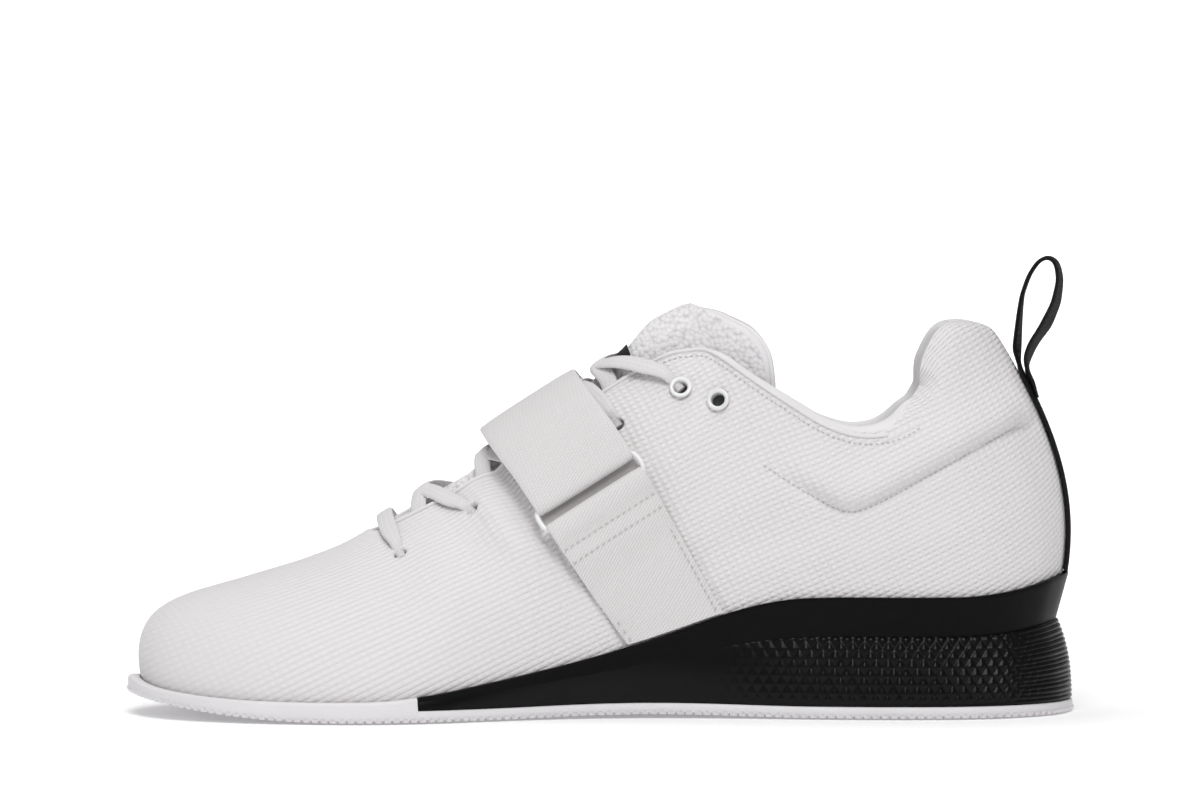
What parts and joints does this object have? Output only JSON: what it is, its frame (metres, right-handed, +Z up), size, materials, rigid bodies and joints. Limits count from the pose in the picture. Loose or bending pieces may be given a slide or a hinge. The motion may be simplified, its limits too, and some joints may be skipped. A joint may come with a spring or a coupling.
{
  "type": "weightlifting shoe",
  "caption": "Low-cut lace-up shoe with a cupped raised heel wedge, thin flat outsole, instep strap through a ring, padded collar and a heel pull loop.",
  "frame": {"origin": "centre of the bounding box in plan, on the floor the shoe stands on", "axes": "+X from the toe to the heel, +Y from the medial (arch) side to the lateral side, +Z up"},
  "size_m": [0.2914, 0.1078, 0.1408],
  "materials": {
    "woven_textile": "off-white coarse ribbed weave, matt",
    "sole_rubber": "white moulded rubber, satin",
    "heel_plastic": "black moulded plastic, satin, diamond relief on its flank",
    "tongue_mesh": "white padded spacer mesh",
    "webbing": "white woven webbing",
    "ring_plastic": "white moulded plastic",
    "label_film": "plain black film",
    "tape": "black woven tape",
    "lace_cord": "white flat braid",
    "eyelet_enamel": "white enamel",
    "insole_foam": "light textile over foam"
  },
  "bodies": {
    "root": {"outsole": "sole_rubber", "heel_wedge": "heel_plastic", "insole": "insole_foam", "upper": "woven_textile", "tongue": "tongue_mesh", "tongue_label": "label_film", "strap_ring": "ring_plastic", "side_band": "webbing", "strap": "webbing", "eyelet_medial_5": "eyelet_enamel", "eyelet_medial_6": "eyelet_enamel", "eyelet_lateral_5": "eyelet_enamel", "eyelet_lateral_6": "eyelet_enamel", "lace_bar_1": "lace_cord", "lace_cross_2": "lace_cord", "lace_cross_3": "lace_cord", "lace_cross_4": "lace_cord", "heel_tape": "tape"}
  },
  "joints": []
}
